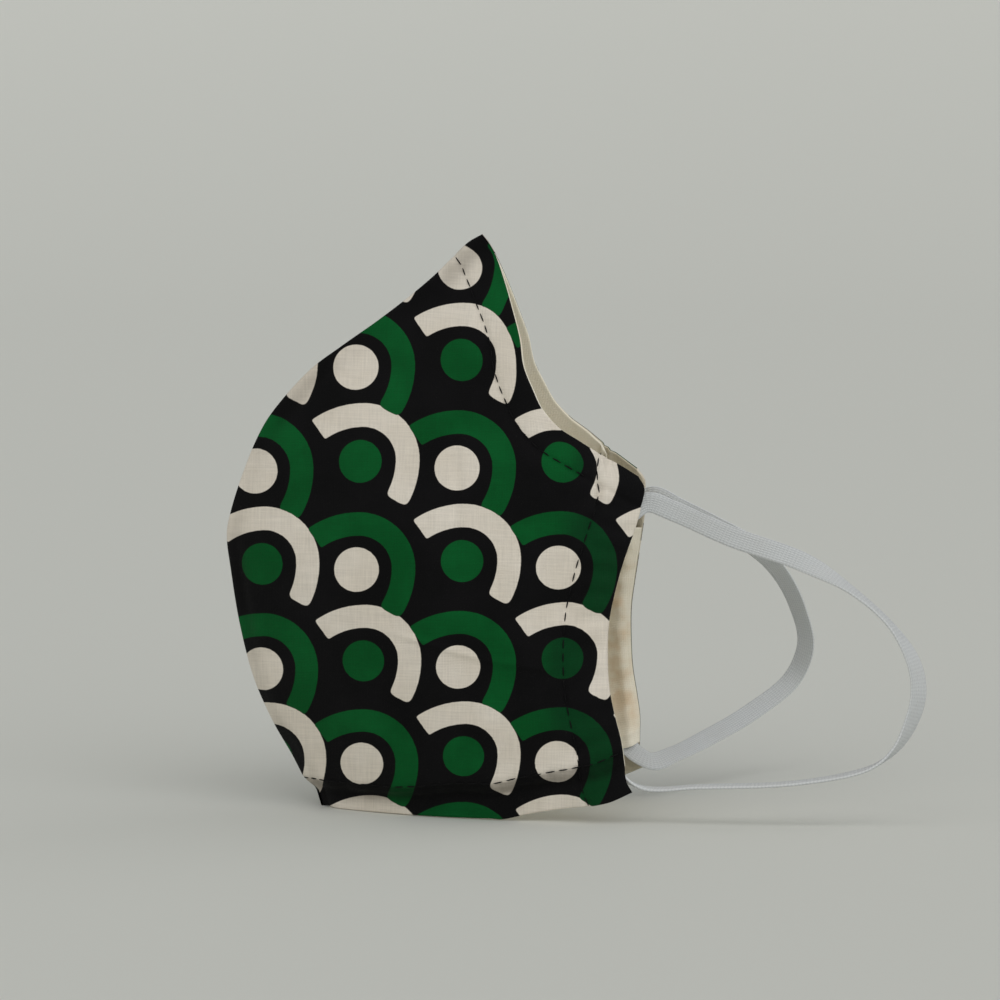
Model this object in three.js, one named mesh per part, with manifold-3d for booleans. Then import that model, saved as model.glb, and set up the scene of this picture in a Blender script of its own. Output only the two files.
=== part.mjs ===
import * as THREE from "three";
import Module from "manifold-3d";

// A moulded cloth face mask standing on its lower edge: two outer panels joined down the front,
// a lining behind each, and a flat elastic ear loop run through a tunnel at each ear edge.
// Millimetres, +Z up, nose towards -X, ear edges towards +X, the wearer's left on -Y.

const MASK_HEIGHT = 143.3;
const MASK_DEPTH = 105.6;
const HALF_WIDTH = 24.5;

const CLOTH = 1.0;
const PIECE_GAP = 0.3;
const SEAM_GAP = 0.3;
const BELLY = 4.2;
const LINING_LIFT = 1.2;

const TUNNEL_WIDTH = 11;
const TUNNEL_SLOPE = 2.2;
const ELASTIC_WIDTH = 5;
const ELASTIC_THICK = 1;
const ELASTIC_PLAY = 0.8;
const TUNNEL_ROOM = ELASTIC_THICK + 2 * ELASTIC_PLAY;

const PANEL_COLUMNS = 13;
const PANEL_ROWS = 24;
const LOOP_STATIONS = 88;

// Side outlines. depth is a share of MASK_DEPTH from the nose, height of MASK_HEIGHT from the
// table, side of HALF_WIDTH from the middle plane.
const SEAM = [
  { depth: 0.203, height: 0, side: 0 },
  { depth: 0.188, height: 0.04, side: 0 },
  { depth: 0.159, height: 0.087, side: 0 },
  { depth: 0.109, height: 0.151, side: 0 },
  { depth: 0.064, height: 0.226, side: 0 },
  { depth: 0.031, height: 0.318, side: 0 },
  { depth: 0.01, height: 0.412, side: 0 },
  { depth: 0, height: 0.478, side: 0 },
  { depth: 0.01, height: 0.517, side: 0 },
  { depth: 0.039, height: 0.583, side: 0 },
  { depth: 0.077, height: 0.65, side: 0 },
  { depth: 0.109, height: 0.689, side: 0 },
  { depth: 0.199, height: 0.763, side: 0 },
  { depth: 0.275, height: 0.805, side: 0 },
  { depth: 0.36, height: 0.849, side: 0 },
  { depth: 0.438, height: 0.893, side: 0 },
  { depth: 0.497, height: 0.93, side: 0 },
  { depth: 0.572, height: 0.984, side: 0 },
  { depth: 0.604, height: 1, side: 0 },
];
const TOP_EDGE = [
  { depth: 0.604, height: 1, side: 0 },
  { depth: 0.619, height: 0.986, side: 0.033 },
  { depth: 0.636, height: 0.964, side: 0.082 },
  { depth: 0.661, height: 0.918, side: 0.204 },
  { depth: 0.682, height: 0.872, side: 0.327 },
  { depth: 0.701, height: 0.826, side: 0.449 },
  { depth: 0.712, height: 0.781, side: 0.551 },
  { depth: 0.735, height: 0.742, side: 0.633 },
  { depth: 0.759, height: 0.708, side: 0.694 },
  { depth: 0.797, height: 0.678, side: 0.735 },
  { depth: 0.853, height: 0.652, side: 0.718 },
  { depth: 0.902, height: 0.63, side: 0.653 },
  { depth: 0.951, height: 0.609, side: 0.571 },
  { depth: 0.987, height: 0.592, side: 0.51 },
];
const EAR_EDGE = [
  { depth: 0.975, height: 0.058, side: 1 },
  { depth: 0.962, height: 0.077, side: 1 },
  { depth: 0.958, height: 0.109, side: 1 },
  { depth: 0.952, height: 0.147, side: 0.996 },
  { depth: 0.939, height: 0.188, side: 0.988 },
  { depth: 0.926, height: 0.237, side: 0.959 },
  { depth: 0.922, height: 0.293, side: 0.918 },
  { depth: 0.925, height: 0.349, side: 0.857 },
  { depth: 0.936, height: 0.391, side: 0.816 },
  { depth: 0.948, height: 0.426, side: 0.776 },
  { depth: 0.968, height: 0.475, side: 0.698 },
  { depth: 0.982, height: 0.509, side: 0.624 },
  { depth: 0.994, height: 0.548, side: 0.551 },
  { depth: 0.998, height: 0.572, side: 0.514 },
  { depth: 0.987, height: 0.592, side: 0.51 },
];
const BOTTOM_EDGE = [
  { depth: 0.203, height: 0, side: 0 },
  { depth: 0.226, height: 0, side: 0.147 },
  { depth: 0.33, height: 0, side: 0.408 },
  { depth: 0.469, height: 0, side: 0.653 },
  { depth: 0.587, height: 0, side: 0.776 },
  { depth: 0.663, height: 0, side: 0.841 },
  { depth: 0.739, height: 0.013, side: 0.89 },
  { depth: 0.885, height: 0.034, side: 0.959 },
  { depth: 0.928, height: 0.042, side: 0.98 },
  { depth: 0.975, height: 0.058, side: 1 },
];

// Where the elastic lies inside its tunnel, from the lower mouth up: rise is the share of the
// way up the ear edge.
const TUNNEL_RUN = [{ rise: 0.26 }, { rise: 0.38 }, { rise: 0.52 }, { rise: 0.66 }, { rise: 0.76 }];
const LOWER_MOUTH = 0.22;
const UPPER_MOUTH = 0.8;

// The elastic outside its tunnel, from the upper mouth round to the lower one, in the same shares
// as the outlines. turn is the share of a quarter turn by which its flat face leaves the side view.
const LEFT_LOOP = [
  { depth: 0.968, height: 0.528, side: 0.53, turn: 0 },
  { depth: 1.002, height: 0.542, side: 0.43, turn: 0 },
  { depth: 1.065, height: 0.526, side: 0.4, turn: 0 },
  { depth: 1.195, height: 0.486, side: 0.47, turn: 0.05 },
  { depth: 1.36, height: 0.446, side: 0.56, turn: 0.3 },
  { depth: 1.472, height: 0.401, side: 0.64, turn: 0.85 },
  { depth: 1.565, height: 0.343, side: 0.71, turn: 0.9 },
  { depth: 1.616, height: 0.285, side: 0.76, turn: 0.62 },
  { depth: 1.63, height: 0.235, side: 0.78, turn: 0.5 },
  { depth: 1.616, height: 0.185, side: 0.8, turn: 0.55 },
  { depth: 1.578, height: 0.134, side: 0.82, turn: 0.8 },
  { depth: 1.521, height: 0.103, side: 0.84, turn: 1 },
  { depth: 1.362, height: 0.077, side: 0.87, turn: 1 },
  { depth: 1.132, height: 0.067, side: 0.86, turn: 1 },
  { depth: 0.995, height: 0.063, side: 0.8, turn: 0.95 },
  { depth: 0.925, height: 0.098, side: 0.8, turn: 0.5 },
];
const RIGHT_LOOP = [
  { depth: 0.968, height: 0.528, side: 0.53, turn: 0 },
  { depth: 1.002, height: 0.54, side: 0.43, turn: 0 },
  { depth: 1.055, height: 0.52, side: 0.5, turn: 0.02 },
  { depth: 1.13, height: 0.487, side: 0.8, turn: 0.08 },
  { depth: 1.21, height: 0.448, side: 1.2, turn: 0.2 },
  { depth: 1.275, height: 0.393, side: 1.66, turn: 0.3 },
  { depth: 1.318, height: 0.32, side: 2.1, turn: 0.35 },
  { depth: 1.335, height: 0.243, side: 2.4, turn: 0.3 },
  { depth: 1.3, height: 0.18, side: 2.5, turn: 0.25 },
  { depth: 1.21, height: 0.128, side: 2.22, turn: 0.3 },
  { depth: 1.11, height: 0.092, side: 1.66, turn: 0.4 },
  { depth: 1.035, height: 0.074, side: 1.1, turn: 0.5 },
  { depth: 0.985, height: 0.068, side: 0.84, turn: 0.5 },
  { depth: 0.925, height: 0.103, side: 0.8, turn: 0.3 },
];

const PRINT_BLACK = 0x0f0e10;
const LINING_CREAM = 0xc9bd9d;
const ELASTIC_WHITE = 0xd4d6d8;
const CLOTH_ROUGH = 0.86;
const ELASTIC_ROUGH = 0.7;

const { Manifold, Mesh } = await loadSolids();

async function loadSolids() {
  const wasm = await Module();
  wasm.setup();
  return wasm;
}

function pointOf(row) {
  return new THREE.Vector3(row.depth * MASK_DEPTH, row.side * HALF_WIDTH, row.height * MASK_HEIGHT);
}

function edgeCurve(rows) {
  const curve = new THREE.CatmullRomCurve3(rows.map(pointOf), false, "centripetal");
  curve.arcLengthDivisions = 400;
  return curve;
}

const seam = edgeCurve(SEAM);
const topEdge = edgeCurve(TOP_EDGE);
const earEdge = edgeCurve(EAR_EDGE);
const bottomEdge = edgeCurve(BOTTOM_EDGE);

// A point of the outer face of a panel, blended from its four edges and bellied out between them.
// across runs from the front seam to the ear edge, up from the lower edge to the upper one.
function facePoint(across, up) {
  const front = seam.getPointAt(up);
  const back = earEdge.getPointAt(up);
  const low = bottomEdge.getPointAt(across);
  const high = topEdge.getPointAt(across);
  const point = new THREE.Vector3();
  point.addScaledVector(front, 1 - across).addScaledVector(back, across);
  point.addScaledVector(low, 1 - up).addScaledVector(high, up);
  point.addScaledVector(bottomEdge.getPointAt(0), -(1 - across) * (1 - up));
  point.addScaledVector(bottomEdge.getPointAt(1), -across * (1 - up));
  point.addScaledVector(topEdge.getPointAt(0), -(1 - across) * up);
  point.addScaledVector(topEdge.getPointAt(1), -across * up);
  point.y += BELLY * Math.sin(Math.PI * across) * Math.sin(Math.PI * up) + SEAM_GAP / 2;
  point.z = Math.max(point.z, 0);
  return point;
}

// The unit vector from the outer face towards the hollow.
function inward(across, up) {
  const step = 0.004;
  const a0 = Math.max(across - step, 0);
  const a1 = Math.min(across + step, 1);
  const u0 = Math.max(up - step, 0);
  const u1 = Math.min(up + step, 1);
  const along = facePoint(a1, up).sub(facePoint(a0, up));
  const rising = facePoint(across, u1).sub(facePoint(across, u0));
  const normal = along.cross(rising).normalize();
  return normal.y > 0 ? normal.negate() : normal;
}

function rowLength(up) {
  const parts = 12;
  let length = 0;
  for (let i = 0; i < parts; i++) {
    length += facePoint(i / parts, up).distanceTo(facePoint((i + 1) / parts, up));
  }
  return length;
}

// Columns run evenly to the tunnel's stitch line, then follow the tunnel's flat and its slopes.
const tunnelSteps = [TUNNEL_WIDTH, TUNNEL_WIDTH - TUNNEL_SLOPE, TUNNEL_SLOPE, 0];

function columnShare(column, length) {
  const stitched = 1 - TUNNEL_WIDTH / length;
  if (column <= PANEL_COLUMNS) return (column / PANEL_COLUMNS) * stitched;
  return 1 - tunnelSteps[column - PANEL_COLUMNS] / length;
}

// One cloth layer: a grid of points depth(column) behind the outer face and another a cloth
// thickness further in, closed round its four edges and cut off at the middle plane.
function clothLayer(depthOf, riseOf) {
  const columns = PANEL_COLUMNS + tunnelSteps.length;
  const outer = [];
  const inner = [];
  for (let j = 0; j <= PANEL_ROWS; j++) {
    for (let i = 0; i < columns; i++) {
      const up = riseOf(i, j / PANEL_ROWS);
      const across = columnShare(i, rowLength(up));
      const face = facePoint(across, up);
      const into = inward(across, up);
      if (j === 0) into.setZ(0).normalize();
      const depth = depthOf(i);
      outer.push(face.clone().addScaledVector(into, depth));
      inner.push(face.clone().addScaledVector(into, depth + CLOTH));
    }
  }
  const points = [...outer, ...inner];
  const back = outer.length;
  const faces = [];
  const at = (i, j) => j * columns + i;
  const quad = (a, b, c, d) => faces.push(a, b, c, a, c, d);
  for (let j = 0; j < PANEL_ROWS; j++) {
    for (let i = 0; i < columns - 1; i++) {
      quad(at(i, j), at(i, j + 1), at(i + 1, j + 1), at(i + 1, j));
      quad(back + at(i, j), back + at(i + 1, j), back + at(i + 1, j + 1), back + at(i, j + 1));
    }
    const last = columns - 1;
    quad(at(0, j), back + at(0, j), back + at(0, j + 1), at(0, j + 1));
    quad(at(last, j), at(last, j + 1), back + at(last, j + 1), back + at(last, j));
  }
  for (let i = 0; i < columns - 1; i++) {
    const top = PANEL_ROWS;
    quad(at(i, 0), at(i + 1, 0), back + at(i + 1, 0), back + at(i, 0));
    quad(at(i, top), back + at(i, top), back + at(i + 1, top), at(i + 1, top));
  }
  return cutAtMiddle(solidOf(points, faces));
}

function solidOf(points, faces) {
  const flat = new Float32Array(points.flatMap((p) => [p.x, p.y, p.z]));
  const mesh = new Mesh({ numProp: 3, vertProperties: flat, triVerts: new Uint32Array(faces) });
  return new Manifold(mesh);
}

function cutAtMiddle(solid) {
  const reach = 2 * MASK_HEIGHT;
  const half = Manifold.cube([2 * reach, reach, 2 * reach]).translate([
    -reach,
    SEAM_GAP / 2,
    -reach,
  ]);
  return solid.intersect(half);
}

// The lining stands off the outer panel by a clearance, and by the elastic's room in the tunnel.
function liningDepth(column) {
  const near = CLOTH + PIECE_GAP;
  const inTunnel = column === PANEL_COLUMNS + 1 || column === PANEL_COLUMNS + 2;
  return inTunnel ? CLOTH + TUNNEL_ROOM : near;
}

// Its lower edge starts a little above the table, and its tunnel stops short at both mouths.
function liningRise(column, share) {
  const low = LINING_LIFT / MASK_HEIGHT;
  const inTunnel = column > PANEL_COLUMNS;
  const from = inTunnel ? LOWER_MOUTH : low;
  const to = inTunnel ? UPPER_MOUTH : 1;
  return from + (to - from) * share;
}

// A flat ribbon swept round a closed path, its flat face turned as each station says.
function ribbon(stations) {
  const path = new THREE.CatmullRomCurve3(stations.map((s) => s.point), true, "centripetal");
  const facing = new THREE.CatmullRomCurve3(stations.map((s) => s.face), true, "centripetal");
  const corners = [
    [0.5, 0.5],
    [-0.5, 0.5],
    [-0.5, -0.5],
    [0.5, -0.5],
  ];
  const points = [];
  const faces = [];
  for (let i = 0; i < LOOP_STATIONS; i++) {
    const at = i / LOOP_STATIONS;
    const centre = path.getPoint(at);
    const ahead = path.getTangent(at);
    const face = facing.getPoint(at);
    face.addScaledVector(ahead, -face.dot(ahead)).normalize();
    const breadth = new THREE.Vector3().crossVectors(ahead, face);
    for (const [wide, thick] of corners) {
      const p = centre.clone().addScaledVector(breadth, wide * ELASTIC_WIDTH);
      points.push(p.addScaledVector(face, thick * ELASTIC_THICK));
    }
  }
  const count = corners.length;
  for (let i = 0; i < LOOP_STATIONS; i++) {
    const here = i * count;
    const next = ((i + 1) % LOOP_STATIONS) * count;
    for (let k = 0; k < count; k++) {
      const m = (k + 1) % count;
      faces.push(here + k, next + m, here + m, here + k, next + k, next + m);
    }
  }
  return solidOf(points, faces);
}

function earLoop(rows) {
  const stations = TUNNEL_RUN.map(({ rise }) => {
    const across = 1 - TUNNEL_WIDTH / 2 / rowLength(rise);
    const face = inward(across, rise);
    const behind = CLOTH + TUNNEL_ROOM / 2;
    return { point: facePoint(across, rise).addScaledVector(face, behind), face };
  });
  rows.forEach((row, index) => {
    const before = pointOf(rows[Math.max(index - 1, 0)]);
    const after = pointOf(rows[Math.min(index + 1, rows.length - 1)]);
    const ahead = after.sub(before).normalize();
    const face = new THREE.Vector3(0, -1, 0);
    face.addScaledVector(ahead, -face.dot(ahead)).normalize();
    face.applyAxisAngle(ahead, (row.turn * Math.PI) / 2);
    stations.push({ point: pointOf(row), face });
  });
  return ribbon(stations);
}

// mirrored is true for the wearer's left, which lies on -Y.
function meshOf(name, solid, mirrored, colour, roughness) {
  const placed = mirrored ? solid.mirror([0, 1, 0]) : solid;
  const { vertProperties, triVerts } = placed.getMesh();
  const geometry = new THREE.BufferGeometry();
  geometry.setAttribute("position", new THREE.BufferAttribute(vertProperties, 3));
  geometry.setIndex(new THREE.BufferAttribute(triVerts, 1));
  const material = new THREE.MeshStandardMaterial({ color: colour, roughness });
  material.name = name;
  const mesh = new THREE.Mesh(geometry, material);
  mesh.name = name;
  return mesh;
}

const outerPanel = clothLayer(() => 0, (column, share) => share);
const lining = clothLayer(liningDepth, liningRise);

const mask = new THREE.Group();
for (const [hand, mirrored, rows] of [["left", true, LEFT_LOOP], ["right", false, RIGHT_LOOP]]) {
  mask.add(meshOf("outer_panel_" + hand, outerPanel, mirrored, PRINT_BLACK, CLOTH_ROUGH));
  mask.add(meshOf("lining_" + hand, lining, mirrored, LINING_CREAM, CLOTH_ROUGH));
  mask.add(meshOf("ear_loop_" + hand, earLoop(rows), mirrored, ELASTIC_WHITE, ELASTIC_ROUGH));
}

// The origin is under the middle of everything, on the table.
const bounds = new THREE.Box3().setFromObject(mask);
const middle = bounds.getCenter(new THREE.Vector3());
mask.position.set(-middle.x, -middle.y, -bounds.min.z);

export default mask;
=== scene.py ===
"""A contoured cloth face mask standing on its lower edge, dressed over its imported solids."""

import math

import bpy
import numpy as np
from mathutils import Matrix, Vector


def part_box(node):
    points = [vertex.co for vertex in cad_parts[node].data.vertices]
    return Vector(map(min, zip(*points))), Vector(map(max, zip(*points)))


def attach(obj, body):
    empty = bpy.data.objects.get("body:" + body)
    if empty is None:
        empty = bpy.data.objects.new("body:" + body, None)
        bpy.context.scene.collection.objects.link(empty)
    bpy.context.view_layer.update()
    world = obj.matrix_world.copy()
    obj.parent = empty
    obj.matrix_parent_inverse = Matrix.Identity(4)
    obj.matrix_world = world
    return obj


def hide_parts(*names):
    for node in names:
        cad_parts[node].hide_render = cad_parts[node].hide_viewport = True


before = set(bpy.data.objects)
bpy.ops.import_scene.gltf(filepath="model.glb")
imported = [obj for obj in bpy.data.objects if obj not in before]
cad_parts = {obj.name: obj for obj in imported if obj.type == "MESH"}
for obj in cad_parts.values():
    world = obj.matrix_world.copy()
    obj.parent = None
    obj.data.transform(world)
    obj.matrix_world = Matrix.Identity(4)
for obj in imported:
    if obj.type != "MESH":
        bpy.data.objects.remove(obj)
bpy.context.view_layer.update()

MM = 0.001

# The solids' sizes in millimetres. The mouths and TUNNEL_RUN are shares of the panel's height.
MASK_HEIGHT = 143.3
MASK_DEPTH = 105.6
HALF_WIDTH = 24.5
CLOTH = 1.0
SEAM_GAP = 0.3
BELLY = 4.2
LINING_LIFT = 1.2
TUNNEL_WIDTH = 11.0
TUNNEL_SLOPE = 2.2
ELASTIC_WIDTH = 5.0
ELASTIC_THICK = 1.0
ELASTIC_PLAY = 0.8
ELASTIC_RIBS = 9
RIB_HEIGHT = 0.05
TUNNEL_ROOM = ELASTIC_THICK + 2 * ELASTIC_PLAY
BELL_MOUTH = 0.085
BELL_DEPTH = 2.6
UPPER_MOUTH = 0.8
TUNNEL_RUN = (0.26, 0.38, 0.52, 0.66, 0.76)

# Outline points as shares: depth of MASK_DEPTH from the nose, side of HALF_WIDTH from the
# middle plane, height of MASK_HEIGHT from the table.
SEAM = [
    (0.203, 0, 0), (0.188, 0, 0.04), (0.159, 0, 0.087), (0.109, 0, 0.151), (0.064, 0, 0.226),
    (0.031, 0, 0.318), (0.01, 0, 0.412), (0, 0, 0.478), (0.01, 0, 0.517), (0.039, 0, 0.583),
    (0.077, 0, 0.65), (0.109, 0, 0.689), (0.199, 0, 0.763), (0.275, 0, 0.805), (0.36, 0, 0.849),
    (0.438, 0, 0.893), (0.497, 0, 0.93), (0.572, 0, 0.984), (0.604, 0, 1),
]
TOP_EDGE = [
    (0.604, 0, 1), (0.619, 0.033, 0.986), (0.636, 0.082, 0.964), (0.661, 0.204, 0.918),
    (0.682, 0.327, 0.872), (0.701, 0.449, 0.826), (0.712, 0.551, 0.781), (0.735, 0.633, 0.742),
    (0.759, 0.694, 0.708), (0.797, 0.735, 0.678), (0.853, 0.718, 0.652), (0.902, 0.653, 0.63),
    (0.951, 0.571, 0.609), (0.987, 0.51, 0.592),
]
EAR_EDGE = [
    (0.975, 1, 0.058), (0.962, 1, 0.077), (0.958, 1, 0.109), (0.952, 0.996, 0.147),
    (0.939, 0.988, 0.188), (0.926, 0.959, 0.237), (0.922, 0.918, 0.293), (0.925, 0.857, 0.349),
    (0.936, 0.816, 0.391), (0.948, 0.776, 0.426), (0.968, 0.698, 0.475), (0.982, 0.624, 0.509),
    (0.994, 0.551, 0.548), (0.998, 0.514, 0.572), (0.987, 0.51, 0.592),
]
BOTTOM_EDGE = [
    (0.203, 0, 0), (0.226, 0.147, 0), (0.33, 0.408, 0), (0.469, 0.653, 0), (0.587, 0.776, 0),
    (0.663, 0.841, 0), (0.739, 0.89, 0.013), (0.885, 0.959, 0.034), (0.928, 0.98, 0.042),
    (0.975, 1, 0.058),
]

# The elastic outside its tunnel, in the same shares; the last value is the share of a quarter
# turn by which its flat face leaves the side view.
LEFT_LOOP = [
    (0.968, 0.53, 0.528, 0), (1.002, 0.43, 0.542, 0), (1.065, 0.4, 0.526, 0),
    (1.195, 0.47, 0.486, 0.05), (1.36, 0.56, 0.446, 0.3), (1.472, 0.64, 0.401, 0.85),
    (1.565, 0.71, 0.343, 0.9), (1.616, 0.76, 0.285, 0.62), (1.63, 0.78, 0.235, 0.5),
    (1.616, 0.8, 0.185, 0.55), (1.578, 0.82, 0.134, 0.8), (1.521, 0.84, 0.103, 1),
    (1.362, 0.87, 0.077, 1), (1.132, 0.86, 0.067, 1), (0.995, 0.8, 0.063, 0.95),
    (0.925, 0.8, 0.098, 0.5),
]
RIGHT_LOOP = [
    (0.968, 0.53, 0.528, 0), (1.002, 0.43, 0.54, 0), (1.055, 0.5, 0.52, 0.02),
    (1.13, 0.8, 0.487, 0.08), (1.21, 1.2, 0.448, 0.2), (1.275, 1.66, 0.393, 0.3),
    (1.318, 2.1, 0.32, 0.35), (1.335, 2.4, 0.243, 0.3), (1.3, 2.5, 0.18, 0.25),
    (1.21, 2.22, 0.128, 0.3), (1.11, 1.66, 0.092, 0.4), (1.035, 1.1, 0.074, 0.5),
    (0.985, 0.84, 0.068, 0.5), (0.925, 0.8, 0.103, 0.3),
]

# Stitching, in millimetres.
TOP_STITCH_IN = 7.3
TOP_STITCH_WIDENS = 1.7
HEM_STITCH_IN = 7.6
HEM_STITCH_WIDENS = 2.3
STITCH_PITCH = 3.3
STITCH_LENGTH = 2.3
STITCH_ARCH = 0.14
STITCH_RISE = 0.04
THREAD_RADIUS = 0.17
TOPSTITCH_END = 1.2
BOBBIN_END = TUNNEL_WIDTH + 1

# Relief of the cloth, in millimetres.
SEAM_RIDGE = 0.25
SEAM_DIP = 0.3
SEAM_DIP_VARIES = 0.25
TOP_GROOVE = 0.45
HEM_GROOVE = 0.4
TUNNEL_GROOVE = 0.5
TUNNEL_GROOVE_DEEPENS = 0.4
PUCKER = 0.16
TURNED_EDGE = 0.15
HEM_TURN = 2.6
EAR_CURL = 1.9
ROLL_DROP = 1.0
ROLL_WIDTH = 6.0
ELASTIC_RIDGE = 0.45
GATHER = 0.26
GATHER_PITCH = 6.2
TIP_BREADTH = 0.5
TIP_TAPER = 0.12
FAR_EDGE_FLARE = 1.2
SEAM_MEETS = 0.01
LAYER_GAP = 0.02
TUNNEL_EASE = 0.05

# Rows and columns of the cloth's grids, without the close ones at their ends.
PRINTED_GRID = (184, 146)
LINING_GRID = (120, 110)

# Drift of the print, in millimetres of cloth: factors of 1, z, z squared, d, d times z and d
# squared, where d and z are depth and height from DRIFT_MIDDLE in spans of DRIFT_SPAN.
DRIFT_MIDDLE = (50, 72)
DRIFT_SPAN = 50
DRIFT_ACROSS = (0.974, -0.361, -0.958, 0.27, 0.788, -2.057)
DRIFT_RISING = (0.412, -0.014, -0.022, -0.432, -1.257, -1.624)
ROLL_CARRY = 1.9
TIP_DRIFT = 1.3
TIP_TURN = 1.9
TAB_DRIFT = 2.2

left_low, left_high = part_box("outer_panel_left")
right_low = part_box("outer_panel_right")[0]
NOSE_X = left_low.x
MIDDLE_Y = (left_high.y + right_low.y) / 2


# ---- curves


def spline(points, closed=False, per_span=60):
    """Centripetal Catmull-Rom curve: each span is the cubic through its two points whose end
    slopes come from the neighbouring points, spaced by the square root of their distance."""
    p = np.asarray(points, float)
    if closed:
        ring = np.vstack([p[-1:], p, p[:2]])
    else:
        ring = np.vstack([2 * p[:1] - p[1:2], p, 2 * p[-1:] - p[-2:-1]])
    p0, p1, p2, p3 = ring[:-3], ring[1:-2], ring[2:-1], ring[3:]
    pairs = ((p0, p1), (p1, p2), (p2, p3))
    gap = [np.sqrt(np.linalg.norm(b[:, :3] - a[:, :3], axis=1)) for a, b in pairs]
    d0, d1, d2 = (np.maximum(g, 1e-4)[:, None] for g in gap)
    m1 = ((p1 - p0) / d0 - (p2 - p0) / (d0 + d1) + (p2 - p1) / d1) * d1
    m2 = ((p2 - p1) / d1 - (p3 - p1) / (d1 + d2) + (p3 - p2) / d2) * d1
    t = np.linspace(0, 1, per_span, endpoint=False)[None, :, None]
    p1, p2, m1, m2 = (x[:, None, :] for x in (p1, p2, m1, m2))
    curve = (
        p1 + m1 * t + (-3 * p1 + 3 * p2 - 2 * m1 - m2) * t**2 + (2 * p1 - 2 * p2 + m1 + m2) * t**3
    ).reshape(-1, p.shape[1])
    return curve if closed else np.vstack([curve, p[-1:]])


def walked(line, closed=False):
    """Length walked along a line of points up to each of them."""
    ends = np.vstack([line, line[:1]]) if closed else line
    return np.concatenate([[0.0], np.cumsum(np.linalg.norm(np.diff(ends[:, :3], axis=0), axis=1))])


def along(line, shares):
    """Points of a line at the given shares of its length."""
    reach = walked(line)
    wanted = np.asarray(shares, float) * reach[-1]
    return np.stack([np.interp(wanted, reach, line[:, k]) for k in range(line.shape[1])], axis=-1)


SIZE = np.array([MASK_DEPTH, HALF_WIDTH, MASK_HEIGHT])
seam, top_edge, ear_edge, bottom_edge = (
    spline(np.array(rows, float) * SIZE) for rows in (SEAM, TOP_EDGE, EAR_EDGE, BOTTOM_EDGE)
)


def face(across, up):
    """Outer face of a panel in millimetres: the Coons blend of its four edge curves, taken by
    length, plus a belly of one half sine each way. across runs from the front seam to the ear
    edge and up from the lower edge to the upper one; both are arrays of one shape."""
    a, u = across[..., None], up[..., None]
    low, high = along(bottom_edge, across), along(top_edge, across)
    front, back = along(seam, up), along(ear_edge, up)
    point = (1 - a) * front + a * back + (1 - u) * low + u * high
    point -= (1 - a) * (1 - u) * bottom_edge[0] + a * (1 - u) * bottom_edge[-1]
    point -= (1 - a) * u * top_edge[0] + a * u * top_edge[-1]
    point[..., 1] += BELLY * np.sin(np.pi * across) * np.sin(np.pi * up) + SEAM_GAP / 2
    point[..., 2] = np.maximum(point[..., 2], 0)
    return point


def inward(across, up, step=0.004):
    """Unit vector from the outer face to the hollow: the cross product of the face's two
    central differences, turned towards the middle plane."""
    a0, a1 = np.maximum(across - step, 0), np.minimum(across + step, 1)
    u0, u1 = np.maximum(up - step, 0), np.minimum(up + step, 1)
    normal = np.cross(face(a1, up) - face(a0, up), face(across, u1) - face(across, u0))
    normal /= np.linalg.norm(normal, axis=-1, keepdims=True)
    return np.where(normal[..., 1:2] > 0, -normal, normal)


def row_length(up):
    """Length of the face along rows of constant up, as the sum of twelve chords."""
    rows = face(*np.broadcast_arrays(np.linspace(0, 1, 13), np.asarray(up, float)[..., None]))
    return np.linalg.norm(np.diff(rows, axis=-2), axis=-1).sum(-1)


def smooth(x, low, high):
    """Eased step from 0 at low to 1 at high."""
    t = np.clip((x - low) / (high - low), 0, 1)
    return t * t * (3 - 2 * t)


def hump(x, middle, width):
    """Bell curve of height 1."""
    return np.exp(-(((x - middle) / width) ** 2))


def top_inset(reach):
    """Distance of the top stitch line from its edge, wider by the front seam."""
    return TOP_STITCH_IN + TOP_STITCH_WIDENS * smooth(-reach, -34, -4)


def hem_inset(reach):
    """Distance of the hem stitch line from the lower edge, wider towards the ear edge."""
    return HEM_STITCH_IN + HEM_STITCH_WIDENS * smooth(reach, 26, 50)


def seam_wave(reach):
    """Slow sine along the front seam, by which its dip and the painted shade in it vary."""
    return np.sin(reach / 8.5 + 0.9)


def distance_to(points, line, stations=320):
    """Shortest distance from each point to a line of points, and how far along it that is: the
    nearest of its stations, then the foot on the line's direction there."""
    flat = points.reshape(-1, 3)
    steps = along(line, np.linspace(0, 1, stations))
    reach = np.linspace(0, walked(line)[-1], stations)
    squared = (flat**2).sum(1)[:, None] + (steps**2).sum(1)[None] - 2 * flat @ steps.T
    nearest = squared.argmin(1)
    ahead = np.gradient(steps, axis=0)
    ahead /= np.linalg.norm(ahead, axis=1, keepdims=True)
    off, ahead = flat - steps[nearest], ahead[nearest]
    onward = np.clip((off * ahead).sum(1), -reach[1], reach[1])
    gap = np.linalg.norm(off - onward[:, None] * ahead, axis=1)
    return gap.reshape(points.shape[:-1]), (reach[nearest] + onward).reshape(points.shape[:-1])


# ---- cloth

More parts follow.
